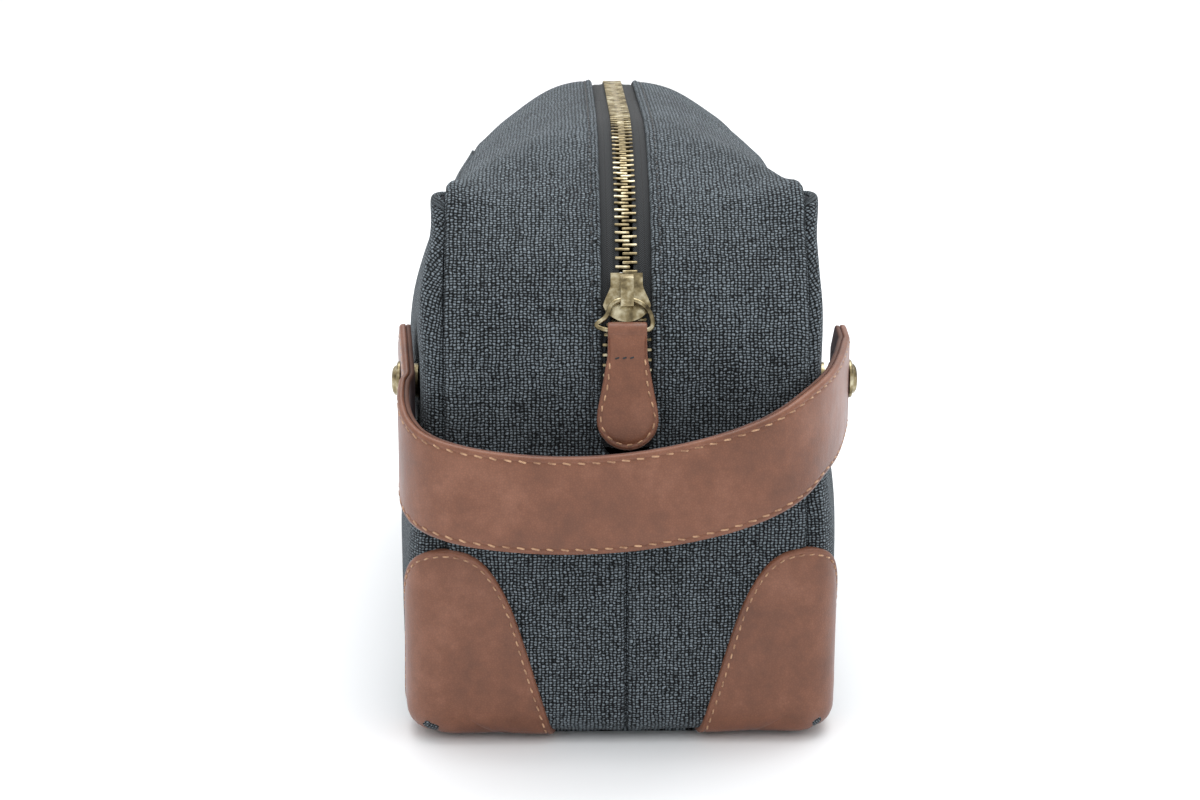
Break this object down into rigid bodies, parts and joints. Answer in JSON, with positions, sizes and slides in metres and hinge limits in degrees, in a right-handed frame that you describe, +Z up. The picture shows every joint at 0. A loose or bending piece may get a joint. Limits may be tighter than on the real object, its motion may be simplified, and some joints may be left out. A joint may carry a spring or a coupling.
{
  "type": "shaving kit bag",
  "caption": "Canvas box-shaped wash bag with a metal zip over its top and ends, leather corner patches, leather zip pull and a riveted leather end handle.",
  "frame": {"origin": "bottom centre of the whole object, handle and corner patches included", "axes": "+Y along the bag from the handle end to the far end, +X to the right seen from the handle end, +Z up"},
  "size_m": [0.1302, 0.2726, 0.1585],
  "materials": {
    "canvas": "matte",
    "lining_cloth": "matte",
    "zip_tape": "matte",
    "leather": "satin",
    "lining_leather": "matte",
    "antique_brass": "satin",
    "board": "matte"
  },
  "bodies": {
    "bag": {"back_left_patch": "leather", "back_left_tape": "zip_tape", "back_left_teeth": "antique_brass", "back_right_patch": "leather", "back_right_tape": "zip_tape", "back_right_teeth": "antique_brass", "back_stop": "antique_brass", "base_board": "board", "bottom_panel": "canvas", "front_left_patch": "leather", "front_left_tape": "zip_tape", "front_left_teeth": "antique_brass", "front_right_patch": "leather", "front_right_tape": "zip_tape", "front_right_teeth": "antique_brass", "front_stops": "antique_brass", "left_back_end_panel": "canvas", "left_front_end_panel": "canvas", "left_rivet_base": "antique_brass", "left_rivet_cap": "antique_brass", "left_rivet_washer": "antique_brass", "left_side_panel": "canvas", "lining": "lining_cloth", "right_back_end_panel": "canvas", "right_front_end_panel": "canvas", "right_rivet_base": "antique_brass", "right_rivet_cap": "antique_brass", "right_rivet_washer": "antique_brass", "right_side_panel": "canvas"},
    "handle": {"handle_outer": "leather", "handle_lining": "lining_leather"},
    "left_flap": {"left_top_panel": "canvas", "left_top_lining": "lining_cloth", "top_left_tape": "zip_tape", "top_left_teeth": "antique_brass"},
    "right_flap": {"right_top_panel": "canvas", "right_top_lining": "lining_cloth", "top_right_tape": "zip_tape", "top_right_teeth": "antique_brass"},
    "slider": {"slider_body": "antique_brass", "slider_crown": "antique_brass"},
    "ring": {"pull_ring": "antique_brass"},
    "pull": {"pull_front": "leather", "pull_back": "lining_leather"}
  },
  "joints": [
    {"name": "handle_swing", "type": "hinge", "parent": "bag", "child": "handle", "pos_m": [0, -0.0851, 0.0915], "axis": [-1, 0, 0], "range_deg": [0, 40]},
    {"name": "slider_travel", "type": "hinge", "parent": "bag", "child": "slider", "pos_m": [0, -0.0591, 0.092], "axis": [1, 0, 0], "range_deg": [-26, 14], "deforming": ["front_left_teeth", "front_right_teeth"]},
    {"name": "ring_swing", "type": "hinge", "parent": "slider", "child": "ring", "pos_m": [0, -0.11533, 0.11931], "axis": [1, 0, 0], "range_deg": [-60, 0]},
    {"name": "pull_swing", "type": "hinge", "parent": "ring", "child": "pull", "pos_m": [0, -0.11787, 0.11193], "axis": [1, 0, 0], "range_deg": [-50, 0]},
    {"name": "left_top_opening", "type": "hinge", "parent": "bag", "child": "left_flap", "pos_m": [-0.047, 0.0079, 0.1425], "axis": [0, -1, 0], "range_deg": [0, 60]},
    {"name": "right_top_opening", "type": "hinge", "parent": "bag", "child": "right_flap", "pos_m": [0.047, 0.0079, 0.1425], "axis": [0, 1, 0], "range_deg": [0, 60]}
  ]
}
